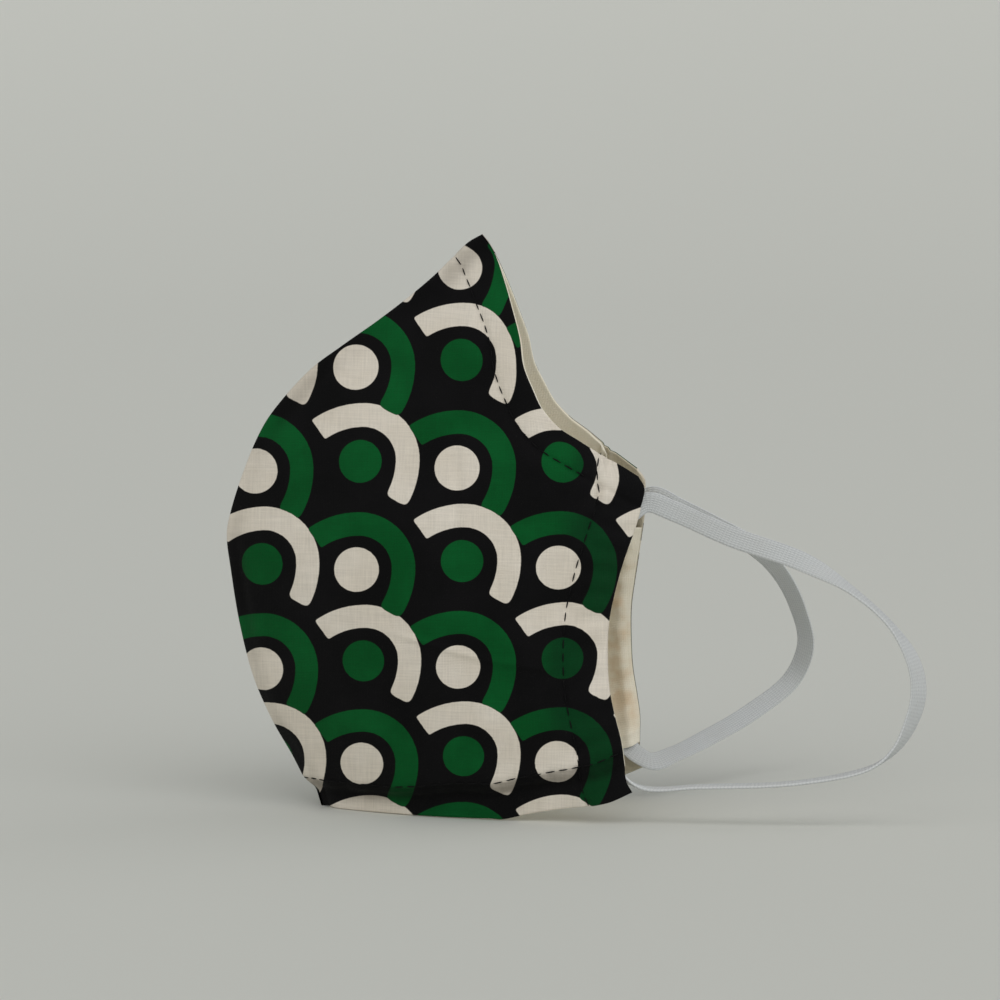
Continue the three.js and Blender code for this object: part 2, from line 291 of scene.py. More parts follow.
# Pressed creases on the face, from the front seam rearwards or from the top down: points of
# depth and height shares, with the crease's height and breadth in millimetres.
CREASES = [
    ([(0.558, 0.69), (0.567, 0.6), (0.572, 0.5), (0.57, 0.42)], -0.5, 1.3),
    (
        [(0.37, 0.332), (0.44, 0.322), (0.56, 0.3), (0.67, 0.282), (0.76, 0.272), (0.86, 0.27)],
        0.5,
        0.9,
    ),
    ([(0.6, 0.885), (0.585, 0.83), (0.6, 0.77)], 0.3, 1.6),
    ([(0.2, 0.62), (0.3, 0.56), (0.36, 0.47)], 0.3, 2.2),
    ([(0.3, 0.24), (0.42, 0.2), (0.52, 0.19)], -0.3, 1.8),
    ([(0.945, 0.69), (0.922, 0.63), (0.907, 0.59), (0.899, 0.56), (0.893, 0.51)], -0.8, 0.8),
]


def crease_relief(points):
    """Sum of the creases: each a bell curve of the distance to its line, fading at both ends."""
    total = np.zeros(points.shape[:-1])
    for rows, height, breadth in CREASES:
        line = spline(np.array([(d * MASK_DEPTH, h * MASK_HEIGHT, 0) for d, h in rows]))
        flat = np.stack([points[..., 0], points[..., 2], np.zeros(points.shape[:-1])], -1)
        gap, reach = distance_to(flat, line)
        whole = walked(line)[-1]
        fade = smooth(reach, 0, whole * 0.3) * smooth(whole - reach, 0, whole * 0.3)
        total += height * hump(gap, 0, breadth) * fade
    return total


def relief(points, up):
    """Height of the cloth over its smooth face, in millimetres: a slow swell as two products of
    sines, the creases, the seam allowance's ridge and the dip beside it, a groove at each stitch
    line with small puckers, the hem turned in below its stitches, the ear edge's curl and the top
    edge's roll, and the elastic's ridge with gathers across its tunnel."""
    to_top, on_top = distance_to(points, top_edge)
    to_ear, on_ear = distance_to(points, ear_edge)
    to_hem, on_hem = distance_to(points, bottom_edge)
    to_seam, on_seam = distance_to(points, seam)
    x, z = points[..., 0], points[..., 2]
    swell = 0.34 * np.sin(x / 13.0 + z / 31.0) * np.sin(z / 17.0 - x / 41.0 + 0.6)
    swell += 0.16 * np.sin(x / 7.1 - z / 9.7 + 1.1) * np.sin(z / 8.3 + x / 15.0)
    inner = smooth(to_seam, 0, 9) * smooth(to_top, 0, 9) * smooth(to_hem, 0, 9)
    height = swell * inner + crease_relief(points) * smooth(to_seam, 0, 6)
    dip = SEAM_DIP + SEAM_DIP_VARIES * seam_wave(on_seam)
    beside = SEAM_RIDGE * hump(to_seam, 1.0, 1.3) - dip * hump(to_seam, 4.0, 2.1)
    height += beside * smooth(to_top, 2, 12)
    tunnel_groove = TUNNEL_GROOVE + TUNNEL_GROOVE_DEEPENS * smooth(up, 0.75, 0.92)
    lines = [
        (to_top, on_top, top_inset(on_top), TOP_GROOVE),
        (to_hem, on_hem, hem_inset(on_hem), HEM_GROOVE),
        (to_ear, on_ear, TUNNEL_WIDTH, tunnel_groove),
    ]
    for gap, reach, line_in, depth in lines:
        pucker = np.sin(reach * 2 * np.pi / (STITCH_PITCH * 2.4) + 1.3 * np.sin(reach / 6.0))
        height -= depth * hump(gap, line_in, 0.75)
        height += PUCKER * pucker * hump(gap, line_in, 2.6)
        height += TURNED_EDGE * hump(gap, line_in * 0.5, line_in * 0.28)
    in_hem = smooth(hem_inset(on_hem) - to_hem, -0.4, 3.4)
    height -= HEM_TURN * in_hem * (0.2 + 0.8 * smooth(to_ear, 8, 18))
    in_curl = np.clip((TUNNEL_WIDTH - to_ear) / TUNNEL_WIDTH, 0, 1)
    height -= EAR_CURL * in_curl**1.8 * smooth(-up, -0.88, -0.7)
    height -= ROLL_DROP * np.clip((ROLL_WIDTH - to_top) / ROLL_WIDTH, 0, 1) ** 2
    in_tunnel = smooth(to_ear, 0.5, 2.5) * smooth(-to_ear, -10.5, -8) * smooth(up, 0.05, 0.2)
    in_tunnel *= smooth(-up, -0.95, -0.8)
    gather = np.sin(on_ear * 2 * np.pi / GATHER_PITCH + 1.7 * np.sin(on_ear / 9.0) + to_ear * 0.22)
    height += in_tunnel * (ELASTIC_RIDGE * hump(to_ear, TUNNEL_WIDTH / 2, 2.6) + GATHER * gather)
    return height


# The far panel's ear edge, which the strap draws straighter than the near one: height in
# millimetres and how far the edge stands rearwards of the near one's place.
FAR_EDGE_SHIFT = [
    (0, -0.8), (8, -0.7), (15, 0.0), (27, 1.6), (40, 2.1), (52, 2.1), (62, 1.4), (70, 0.0),
    (78, -1.6), (85, -2.3), (95, -2.3),
]


def painted_fold_shade(points):
    """Share of painted shade on the printed face: full in the fold below the hem stitch, a bell
    curve of up to about a half in the dip beside the front seam, nothing elsewhere."""
    to_hem, on_hem = distance_to(points, bottom_edge)
    below = hem_inset(on_hem) - to_hem
    in_hem = smooth(below, -0.1, 0.5) * smooth(-below, -5.2, -2.8)
    to_seam, on_seam = distance_to(points, seam)
    beside = hump(to_seam, 3.4, 2.7) * smooth(points[..., 2], 8, 20)
    return np.maximum(in_hem, beside * (0.34 + 0.24 * seam_wave(on_seam)))


def drawn_straight(points):
    """The points with their depth changed by the far panel's edge shift, read at their height,
    and flared outwards, both fading to nothing over the strip beside the ear edge."""
    shift = spline(np.array([(z, s, 0) for z, s in FAR_EDGE_SHIFT], float))
    amount = np.interp(points[..., 2], shift[:, 0], shift[:, 1])
    weight = smooth(-distance_to(points, ear_edge)[0], -24, -2)
    moved = points.copy()
    moved[..., 0] += amount * weight
    moved[..., 1] += FAR_EDGE_FLARE * weight**2
    return moved


def shares(count, ends=(0.0, 0.0012, 0.0028, 0.0048, 0.0075)):
    """Shares from 0 to 1, even in the middle and close together at both ends."""
    ends = np.array(ends)
    middle = np.linspace(ends[-1], 1 - ends[-1], count)
    return np.concatenate([ends[:-1], middle, 1 - ends[:-1][::-1]])


def grid_faces(rows, columns):
    """Quads of a grid of points numbered row by row, as an array of four corners each."""
    first = (np.arange(rows - 1)[:, None] * columns + np.arange(columns - 1)[None]).ravel()
    return np.stack([first, first + columns, first + columns + 1, first + 1], 1)


def cloth_shell(outer, inner):
    """Closed shell of two grids of points: the outer grid's quads and the inner grid's turned
    round, which take their rim from the outer grid. Gives points, faces and which were used."""
    rows, columns = outer.shape[:2]
    number = np.arange(rows * columns).reshape(rows, columns)
    back = number.copy()
    back[1:-1, 1:-1] += rows * columns
    quads = grid_faces(rows, columns)
    everything = np.vstack([quads, back.ravel()[quads][:, ::-1]])
    used = np.zeros(2 * rows * columns, bool)
    used[everything.ravel()] = True
    points = np.vstack([outer.reshape(-1, 3), inner.reshape(-1, 3)])[used]
    return points, (np.cumsum(used) - 1)[everything], used


def placed(points, left):
    """Points in millimetres of the part, on the right or mirrored to the left, in the frame."""
    return points * np.array([MM, -MM if left else MM, MM]) + (NOSE_X, MIDDLE_Y, 0)


def make_piece(name, points, faces, uv, material, turned=False, **shading):
    """Mesh object from point and face arrays, with one UV map in metres of cloth and a point
    attribute for each further array."""
    if turned:
        faces = faces[:, ::-1]
    mesh = bpy.data.meshes.new(name)
    count, corners = faces.shape
    mesh.vertices.add(len(points))
    mesh.vertices.foreach_set("co", np.ascontiguousarray(points, np.float32).ravel())
    mesh.loops.add(count * corners)
    mesh.loops.foreach_set("vertex_index", np.ascontiguousarray(faces, np.int32).ravel())
    mesh.polygons.add(count)
    mesh.polygons.foreach_set("loop_start", np.arange(count, dtype=np.int32) * corners)
    mesh.polygons.foreach_set("loop_total", np.full(count, corners, np.int32))
    layer = mesh.uv_layers.new(name="cloth")
    layer.data.foreach_set("uv", np.ascontiguousarray(uv[faces.ravel()], np.float32).ravel())
    for label, values in shading.items():
        layer = mesh.attributes.new(label, "FLOAT", "POINT")
        layer.data.foreach_set("value", values.astype(np.float32))
    mesh.update(calc_edges=True)
    mesh.validate()
    mesh.shade_smooth()
    mesh.materials.append(material)
    piece = bpy.data.objects.new(name, mesh)
    bpy.context.scene.collection.objects.link(piece)
    return piece


def rim(across_walk, up_walk, radius):
    """Depth of a rounded rim: the quarter circle of the distance walked from each edge."""
    near = np.minimum(across_walk, up_walk)
    inset = radius - np.minimum(near, radius)
    return radius - np.sqrt(np.maximum(radius**2 - inset**2, 0))


def edge_walks(points):
    """For each point of a grid, the shorter way along its row and its column to the rim."""
    across = np.linalg.norm(np.diff(points, axis=1), axis=-1)
    from_seam = np.pad(np.cumsum(across, 1), ((0, 0), (1, 0)))
    rising = np.linalg.norm(np.diff(points, axis=0), axis=-1)
    from_hem = np.pad(np.cumsum(rising, 0), ((1, 0), (0, 0)))
    return (
        np.minimum(from_seam, from_seam[:, -1:] - from_seam),
        np.minimum(from_hem, from_hem[-1:] - from_hem),
    )


def met_in_middle(points):
    """The same points, drawn over the last three millimetres until the seam's two sides meet."""
    points = points.copy()
    side = points[..., 1]
    drawn = side - (SEAM_GAP / 2 - SEAM_MEETS) * smooth(-side, -3, -0.5)
    points[..., 1] = np.maximum(drawn, SEAM_MEETS)
    return points


def layer_grids(across, up, depth):
    """Outer and inner grid of one cloth layer that lies depth behind the outer face, and the
    directions inwards: the face less its relief, then the depth and the rounding of the rim."""
    smooth_face = face(across, up)
    into = inward(across, up)
    lifted = smooth_face - into * relief(smooth_face, up)[..., None]
    rounding = rim(*edge_walks(smooth_face), CLOTH / 2)[..., None]
    outer = lifted + into * (depth[..., None] + rounding)
    inner = lifted + into * (depth[..., None] + CLOTH - rounding)
    for grid in (outer, inner):
        grid[..., 2] = np.maximum(grid[..., 2], 0)
    return met_in_middle(outer), met_in_middle(inner), into


def outer_layer():
    """Grids of the printed panel, its rim rounded and its lower edge flat on the table. The top
    of the front seam is kept a little broad, so that it ends blunt."""
    up, across = np.meshgrid(*(shares(count) for count in PRINTED_GRID), indexing="ij")
    outer, inner, into = layer_grids(across, up, np.zeros(across.shape))
    blunt = TIP_BREADTH + TIP_TAPER * (MASK_HEIGHT - outer[..., 2])
    blunt *= smooth(outer[..., 2], MASK_HEIGHT - 6.5, MASK_HEIGHT - 4.5)
    blunt *= smooth(distance_to(outer, seam)[0], 0.05, 0.8)
    outer[..., 1] = np.maximum(outer[..., 1], blunt)
    return outer, inner, into


def lining_layer():
    """Grids of the lining: depth grows over the tunnel, whose two ends stop short as mouths."""
    share, across = np.meshgrid(*(shares(count) for count in LINING_GRID), indexing="ij")
    to_ear = (1 - across) * row_length(share[:, 0])[:, None]
    in_tunnel = smooth(-to_ear, -TUNNEL_WIDTH, -TUNNEL_WIDTH + TUNNEL_SLOPE)
    low = LINING_LIFT / MASK_HEIGHT
    start = low + (BELL_MOUTH - low) * in_tunnel
    stop = 1 + (UPPER_MOUTH - 1) * in_tunnel
    up = start + (stop - start) * share
    to_ear = (1 - across) * row_length(up[:, -1])[:, None]
    over = smooth(to_ear, 0, TUNNEL_SLOPE)
    over *= smooth(-to_ear, -TUNNEL_WIDTH, -TUNNEL_WIDTH + TUNNEL_SLOPE)
    bell = BELL_DEPTH * smooth(-up, -0.3, -0.12)
    depth = CLOTH + (TUNNEL_ROOM - TUNNEL_EASE + bell) * over + LAYER_GAP
    return layer_grids(across, up, depth)


def cloth_uv(points, left):
    """Cloth coordinates in metres: depth and height of the side view less the print's drift, a
    square polynomial of both, because the cloth was eased round the form. The print is also
    shifted by eased steps at the tip and the tab, and carried outwards where the top edge rolls
    over. It reads the right way round on both sides."""
    x, height = points[..., 0], points[..., 2]
    d, z = (x - DRIFT_MIDDLE[0]) / DRIFT_SPAN, (height - DRIFT_MIDDLE[1]) / DRIFT_SPAN
    terms = np.stack([np.ones_like(z), z, z**2, d, d * z, d**2], -1)
    across, rising = terms @ np.array(DRIFT_ACROSS), terms @ np.array(DRIFT_RISING)
    carry = ROLL_CARRY * np.clip(1 - distance_to(points, top_edge)[0] / ROLL_WIDTH, 0, 1) ** 2
    carry *= smooth(-height, -138, -124)
    turned = TIP_TURN * smooth(height, 139, 142.3)
    across += TIP_DRIFT * smooth(height, 118, 136) + turned
    rising += turned
    across += TAB_DRIFT * smooth(x, 99, 103.5) * smooth(height, 77, 82)
    depth = (x - across + carry * 0.9) * (1 if left else -1)
    return np.stack([depth, height - rising + carry * 0.44], -1) * MM


def cloth_piece(name, outer, inner, left, material):
    """One closed layer of cloth. Its print coordinates are read before the far side is drawn
    straight, so the print goes with the cloth."""
    uv = np.vstack([cloth_uv(g, left).reshape(-1, 2) for g in (outer, inner)])
    if not left:
        outer, inner = drawn_straight(outer), drawn_straight(inner)
    points, faces, used = cloth_shell(outer, inner)
    shading = {
        "reverse": np.repeat([0.0, 1.0], len(uv) // 2)[used],
        "to_ear": distance_to(points, ear_edge)[0],
        # share of painted shade in the hem fold and beside the front seam
        "painted_shade": painted_fold_shade(points),
    }
    return make_piece(name, placed(points, left), faces, uv[used], material, left, **shading)


# ---- stitches


def crossing(field, level, grids):
    """Where each column of a field first falls to level on the way up: the grids read there, in
    a straight line between the two rows on either side."""
    below = field <= level
    row = np.clip(below.argmax(0), 1, field.shape[0] - 1)
    column = np.arange(field.shape[1])
    high, low = field[row - 1, column], field[row, column]
    fall = np.where(np.abs(high - low) < 1e-9, 1, high - low)
    part = np.clip((high - level) / fall, 0, 1)[:, None]
    found = below.any(0)
    return [(g[row - 1, column] * (1 - part) + g[row, column] * part)[found] for g in grids]


def stitch_line(line, out, margin=0.5):
    """Stitches along a line of points: each is a small capsule whose ring radius is the root of
    one minus the square of its way along, arched out of the cloth and dipping at both ends."""
    whole = walked(line)[-1]
    count = int((whole - 2 * margin) / STITCH_PITCH)
    first = margin + np.arange(count) * STITCH_PITCH
    a = along(line, first / whole)
    b = along(line, (first + STITCH_LENGTH) / whole)
    n = along(np.hstack([line, out]), (first + STITCH_LENGTH / 2) / whole)[:, 3:]
    t = b - a
    t /= np.linalg.norm(t, axis=1, keepdims=True)
    n -= (n * t).sum(1, keepdims=True) * t
    n /= np.linalg.norm(n, axis=1, keepdims=True)
    s = np.cross(t, n)
    way = np.array([-1.0, -0.93, -0.75, -0.35, 0.35, 0.75, 0.93, 1.0])
    ring = THREAD_RADIUS * np.sqrt(np.maximum(1 - way**2, 0.02))
    arch = STITCH_ARCH * (1 - way**2) + STITCH_RISE
    turn = np.linspace(0, 2 * np.pi, 8, endpoint=False)
    middle = (a + b) / 2
    points = (
        middle[:, None, None]
        + t[:, None, None] * (way * STITCH_LENGTH / 2)[None, :, None, None]
        + n[:, None, None] * (arch[:, None] + ring[:, None] * np.sin(turn))[None, :, :, None]
        + s[:, None, None] * (ring[:, None] * np.cos(turn))[None, :, :, None]
    )
    rings, sides = len(way), len(turn)
    base = np.arange(count) * rings * sides
    k, m = np.meshgrid(np.arange(rings - 1), np.arange(sides), indexing="ij")
    here, over = k * sides + m, k * sides + (m + 1) % sides
    quads = np.stack([here, over, over + sides, here + sides], -1).reshape(-1, 4)
    caps = []
    for r, flip in ((0, True), (rings - 1, False)):
        edge = r * sides + np.arange(sides)
        cap = np.stack([edge[[0, 1, 2, 3]], edge[[0, 3, 4, 5]], edge[[0, 5, 6, 7]]])
        caps.append(cap[:, ::-1] if flip else cap)
    faces = np.vstack([quads, *caps])
    return points.reshape(-1, 3), (base[:, None, None] + faces[None]).reshape(-1, 4)


def stitching(name, grid, out, left, thread, hem_end):
    """All stitches on one face of a cloth layer: along the top edge as far as the tunnel, along
    the hem to hem_end from the ear edge, and along the tunnel from edge to edge, each where the
    distance to its edge is the inset."""
    to_top, on_top = distance_to(grid, top_edge)
    to_hem, on_hem = distance_to(grid, bottom_edge)
    to_ear = distance_to(grid, ear_edge)[0]
    lines = []
    edges = (
        (to_top - top_inset(on_top), TUNNEL_WIDTH),
        (hem_inset(on_hem) - to_hem, hem_end),
    )
    for field, end in edges:
        line, away, gap = crossing(field, 0, (grid, out, to_ear[..., None]))
        keep = gap[:, 0] > end
        lines.append((line[keep], away[keep]))
    turned = [np.swapaxes(g, 0, 1) for g in (grid, out, to_top[..., None], to_hem[..., None])]
    line, away, gap_top, gap_hem = crossing(to_ear.T, TUNNEL_WIDTH, turned)
    keep = (gap_top[:, 0] > 0.8) & (gap_hem[:, 0] > 0.8)
    lines.append((line[keep], away[keep]))
    rows = [stitch_line(line, away) for line, away in lines]
    before = np.cumsum([0] + [len(points) for points, _ in rows])
    points = np.vstack([points for points, _ in rows])
    faces = np.vstack([faces + first for (_, faces), first in zip(rows, before)])
    uv = cloth_uv(points, left)
    if not left:
        points = drawn_straight(points)
    return make_piece(name, placed(points, left), faces, uv, thread, turned=left)


# ---- elastic


def loop_route(rows, left):
    """Points and flat-face directions of an ear loop: up its tunnel at half the tunnel's width
    from the ear edge, then the free route with its face turned from the side view."""
    up = np.array(TUNNEL_RUN)
    across = 1 - TUNNEL_WIDTH / 2 / row_length(up)
    facing = inward(across, up)
    in_tunnel = face(across, up) + facing * (CLOTH + TUNNEL_ROOM / 2)
    if not left:
        in_tunnel = drawn_straight(in_tunnel)
    rows = np.array(rows, float)
    free = rows[:, :3] * SIZE
    ahead = np.vstack([free[1:], free[-1:]]) - np.vstack([free[:1], free[:-1]])
    ahead /= np.linalg.norm(ahead, axis=1, keepdims=True)
    flat = np.array([0.0, -1.0, 0.0]) + ahead[:, 1:2] * ahead
    flat /= np.linalg.norm(flat, axis=1, keepdims=True)
    turn = rows[:, 3:4] * np.pi / 2
    flat = flat * np.cos(turn) + np.cross(ahead, flat) * np.sin(turn)
    return np.vstack([in_tunnel, free]), np.vstack([facing, flat])


def elastic_section(count=44):
    """Cross-section of flat braid: a flattened oval, the cosine to the 0.55 across and the sine
    to the 0.6 through, with small cosine ribs on each flat side."""
    turn = np.linspace(0, 2 * np.pi, count, endpoint=False)
    c, s = np.cos(turn), np.sin(turn)
    wide = np.sign(c) * np.abs(c) ** 0.55 * ELASTIC_WIDTH / 2
    ribs = RIB_HEIGHT * np.cos(wide * 2 * np.pi * ELASTIC_RIBS / ELASTIC_WIDTH)
    thick = np.sign(s) * np.abs(s) ** 0.6 * (ELASTIC_THICK / 2 - RIB_HEIGHT + ribs)
    return wide, thick


def ear_loop(name, rows, left, material):
    """The elastic's section carried round its closed route, with its seam closed."""
    route, facing = loop_route(rows, left)
    path = spline(np.hstack([route, facing]), closed=True, per_span=30)
    line, flat = path[:, :3], path[:, 3:]
    ahead = np.roll(line, -1, 0) - np.roll(line, 1, 0)
    ahead /= np.linalg.norm(ahead, axis=1, keepdims=True)
    flat = flat - (flat * ahead).sum(1, keepdims=True) * ahead
    flat /= np.linalg.norm(flat, axis=1, keepdims=True)
    breadth = np.cross(ahead, flat)
    wide, thick = elastic_section()
    points = line[:, None] + breadth[:, None] * wide[None, :, None]
    points = points + flat[:, None] * thick[None, :, None]
    stations, sides = points.shape[:2]
    i, k = np.meshgrid(np.arange(stations), np.arange(sides), indexing="ij")
    j, m = (i + 1) % stations, (k + 1) % sides
    corners = [i * sides + k, j * sides + k, j * sides + m, i * sides + m]
    faces = np.stack(corners, -1).reshape(-1, 4)
    reach = walked(line, closed=True)[:-1]
    uv = np.stack(np.broadcast_arrays(wide[None, :], reach[:, None]), -1).reshape(-1, 2) * MM
    return make_piece(name, placed(points.reshape(-1, 3), left), faces, uv, material, turned=left)


# ---- materials


class Wiring:
    """Adds nodes to one tree and links or sets their sockets."""

    def __init__(self, tree):
        self.tree = tree

    def add(self, kind, **settings):
        """A new node with its settings."""
        node = self.tree.nodes.new(kind)
        for key, value in settings.items():
            setattr(node, key, value)
        return node

    def feed(self, socket, value):
        """Links an output to the socket, or sets its constant."""
        if isinstance(value, bpy.types.NodeSocket):
            self.tree.links.new(value, socket)
        else:
            socket.default_value = value

    def math(self, operation, *values):
        """Result of one sum on numbers or outputs."""
        node = self.add("ShaderNodeMath", operation=operation)
        for socket, value in zip(node.inputs, values):
            self.feed(socket, value)
        return node.outputs[0]

    def plus(self, first, second):
        """First plus second."""
        return self.math("ADD", first, second)

    def minus(self, first, second):
        """First less second."""
        return self.math("SUBTRACT", first, second)

    def times(self, first, second):
        """First times second."""
        return self.math("MULTIPLY", first, second)

    def rest(self, share):
        """One less the share."""
        return self.minus(1.0, share)

    def split(self, vector):
        """The three numbers of a vector."""
        node = self.add("ShaderNodeSeparateXYZ")
        self.feed(node.inputs[0], vector)
        return node.outputs

    def attribute(self, name):
        """A number that the mesh carries at its points."""
        node = self.add("ShaderNodeAttribute", attribute_type="GEOMETRY", attribute_name=name)
        return node.outputs["Fac"]

    def ramp(self, value, low, high, to_low=0.0, to_high=1.0, kind="SMOOTHSTEP"):
        """Eased or straight change from to_low at low to to_high at high."""
        node = self.add("ShaderNodeMapRange", interpolation_type=kind)
        for socket, v in zip(node.inputs, (value, low, high, to_low, to_high)):
            self.feed(socket, v)
        return node.outputs[0]

    def mix(self, factor, first, second, blend="MIX"):
        """Colour that changes from first to second by the factor."""
        node = self.add("ShaderNodeMix", data_type="RGBA", blend_type=blend)
        for number, value in ((0, factor), (6, first), (7, second)):
            self.feed(node.inputs[number], value)
        return node.outputs[2]

    def group(self, tree, **values):
        """Outputs of a node group placed with its own values."""
        node = self.add("ShaderNodeGroup", node_tree=tree)
        for label, value in values.items():
            self.feed(node.inputs[label.replace("_", " ")], value)
        return node.outputs

    def noise(self, vector, scale, detail=3.0):
        """Cloudy noise from 0 to 1."""
        node = self.add("ShaderNodeTexNoise")
        self.feed(node.inputs["Vector"], vector)
        for label, value in (("Scale", scale), ("Detail", detail), ("Roughness", 0.55)):
            node.inputs[label].default_value = value
        return node.outputs["Fac"]

    def stretch(self, vector, scale):
        """The vector times a scale on each axis."""
        node = self.add("ShaderNodeMapping")
        self.feed(node.inputs["Vector"], vector)
        node.inputs["Scale"].default_value = scale
        return node.outputs[0]


def effect(name, takes, gives):
    """An empty node group: a named input for each number with its value and each vector with
    None, and a named number for each output."""
    tree = bpy.data.node_groups.new(name, "ShaderNodeTree")
    for label, value in takes.items():
        kind = "NodeSocketVector" if value is None else "NodeSocketFloat"
        socket = tree.interface.new_socket(name=label, in_out="INPUT", socket_type=kind)
        if value is not None:
            socket.default_value = value
    for label in gives:
        tree.interface.new_socket(name=label, in_out="OUTPUT", socket_type="NodeSocketFloat")
    inputs = tree.nodes.new("NodeGroupInput").outputs
    outputs = tree.nodes.new("NodeGroupOutput").inputs
    return Wiring(tree), inputs, outputs


# The print, in millimetres of cloth. Hooks and dots stand on a square lattice; every second cell
# has its colours changed round and stands a little up and to the rear.
PRINT_PITCH = 24.75
PRINT_START = (59.323, 86.199)
PRINT_ACROSS = (25.276, 1.134)
PRINT_RISING = (-0.552, 24.058)
PRINT_OFFSET = (1.17, 1.81)
WHITE_DOT = 5.5
GREEN_DOT = 5.2
HOOK_CENTRE = (0.6, 0.35)
HOOK_RADIUS = 10.92
HOOK_HALF = 2.88
LEG_SHIFT = 8.2
LEFT_END = (-10.8, 7.46)
LEFT_AHEAD = (-0.823, -0.568)
LOW_END = (7.7, -9.9)
LOW_AHEAD = (-0.5, -0.866)
LEFT_ROUND = 1.0
LOW_ROUND = 2.6
GREEN_LONGER = 1.3
CELL_LEFT = 12.2
CELL_BELOW = 12.8
INK_EDGE = 0.1
EDGE_WANDER = 0.16

# Yarns, in metres of cloth, and the slubs' scales along each axis.
COTTON_YARN = 0.0004
LINING_YARN = 0.00045
WARP_SLUBS = (2600.0, 130.0, 1.0)
WEFT_SLUBS = (110.0, 2400.0, 1.0)
CHEVRON = 0.0009


def hook_cell():
    """One cell of the print: masks of its dot and its hook, from signed distances. The hook is a
    quarter ring with two legs on wider rings, one cut square and one with its corners rounded."""
    takes = {"X": 0.0, "Y": 0.0, "Dot Radius": WHITE_DOT, "Longer": 0.0}
    w, take, give = effect("hook_cell", takes, ("Dot", "Hook"))

    def length(x, y):
        """Root of the sum of both squares."""
        return w.math("SQRT", w.plus(w.times(x, x), w.times(y, y)))

    def band(x, y, radius):
        """Signed distance to a ring of the hook's breadth."""
        return w.minus(w.math("ABSOLUTE", w.minus(length(x, y), radius)), HOOK_HALF)

    def past(end, ahead):
        """Signed distance past an end that is cut square to the direction ahead."""
        dx, dy = w.minus(x, end[0]), w.minus(y, end[1])
        return w.plus(w.times(dx, ahead[0]), w.times(dy, ahead[1]))

    def choose(test, when, otherwise):
        """The first value where the test is 1, the other where it is 0."""
        return w.math("MULTIPLY_ADD", when, test, w.times(otherwise, w.rest(test)))

    dot = w.minus(length(take["X"], take["Y"]), take["Dot Radius"])
    x, y = w.minus(take["X"], HOOK_CENTRE[0]), w.minus(take["Y"], HOOK_CENTRE[1])
    ring = band(x, y, HOOK_RADIUS)
    left = band(x, w.plus(y, LEG_SHIFT), HOOK_RADIUS + LEG_SHIFT)
    left = w.math("SMOOTH_MAX", left, past(LEFT_END, LEFT_AHEAD), LEFT_ROUND)
    low = band(w.plus(x, LEG_SHIFT), y, HOOK_RADIUS + LEG_SHIFT)
    low_end = w.minus(past(LOW_END, LOW_AHEAD), take["Longer"])
    low = w.math("SMOOTH_MAX", low, low_end, LOW_ROUND)
    hook = choose(w.math("GREATER_THAN", y, 0.0), ring, low)
    hook = choose(w.math("LESS_THAN", x, 0.0), left, hook)
    w.feed(give["Dot"], w.ramp(dot, -INK_EDGE, INK_EDGE, 1.0, 0.0))
    w.feed(give["Hook"], w.ramp(hook, -INK_EDGE, INK_EDGE, 1.0, 0.0))
    return w.tree


def hook_print(cell):
    """The whole print: each point asks its own cell, the one before it and the one below it, and
    the hooks that meet are laid over each other in turn."""
    w, take, give = effect("hook_print", {"Cloth": None}, ("White", "Green"))
    cloth = w.split(take["Cloth"])
    wander = w.times(w.minus(w.noise(take["Cloth"], 900.0, 2.0), 0.5), EDGE_WANDER)
    det = PRINT_ACROSS[0] * PRINT_RISING[1] - PRINT_ACROSS[1] * PRINT_RISING[0]
    dx = w.minus(w.times(cloth[0], 1 / MM), PRINT_START[0])
    dy = w.minus(w.times(cloth[1], 1 / MM), PRINT_START[1])

    def lattice(p, q):
        """Place on the square lattice: p parts of dx and q of dy, with the edges' wander."""
        pitch = PRINT_PITCH / det
        return w.plus(w.plus(w.times(dx, p * pitch), w.times(dy, q * pitch)), wander)

    gx = lattice(PRINT_RISING[1], -PRINT_RISING[0])
    gy = lattice(-PRINT_ACROSS[1], PRINT_ACROSS[0])
    column = w.math("FLOOR", w.math("DIVIDE", w.plus(gx, CELL_LEFT), PRINT_PITCH))
    row = w.math("FLOOR", w.math("DIVIDE", w.plus(gy, CELL_BELOW), PRINT_PITCH))
    x = w.minus(gx, w.times(column, PRINT_PITCH))
    y = w.minus(gy, w.times(row, PRINT_PITCH))
    changed = w.math("FLOORED_MODULO", w.plus(column, row), 2.0)
    plain = w.rest(changed)
    odd_row = w.math("FLOORED_MODULO", row, 2.0)

    def ask(shift_x, shift_y, is_changed):
        """Masks of the cell that lies a shift away, with the offset of a changed cell."""
        at_x = w.minus(w.plus(x, shift_x), w.times(is_changed, PRINT_OFFSET[0]))
        at_y = w.minus(w.plus(y, shift_y), w.times(is_changed, PRINT_OFFSET[1]))
        radius = w.math("MULTIPLY_ADD", is_changed, GREEN_DOT - WHITE_DOT, WHITE_DOT)
        longer = w.math("MULTIPLY_ADD", is_changed, -GREEN_LONGER, GREEN_LONGER)
        return w.group(cell, X=at_x, Y=at_y, Dot_Radius=radius, Longer=longer)

    own = ask(0.0, 0.0, changed)
    before = ask(PRINT_PITCH, 0.0, plain)
    below = ask(0.0, PRINT_PITCH, plain)
    others = w.math("MAXIMUM", before["Hook"], below["Hook"])
    covered = w.times(below["Hook"], w.rest(odd_row))
    over = w.times(own["Hook"], w.rest(covered))
    white_plain = w.math("MAXIMUM", w.times(others, w.rest(over)), own["Dot"])
    green_changed = w.math("MAXIMUM", others, own["Dot"])

    def either(first, second):
        """First in a plain cell, second in a changed one."""
        return w.math("MULTIPLY_ADD", first, plain, w.times(second, changed))

    w.feed(give["White"], either(white_plain, own["Hook"]))
    w.feed(give["Green"], either(over, green_changed))
    return w.tree


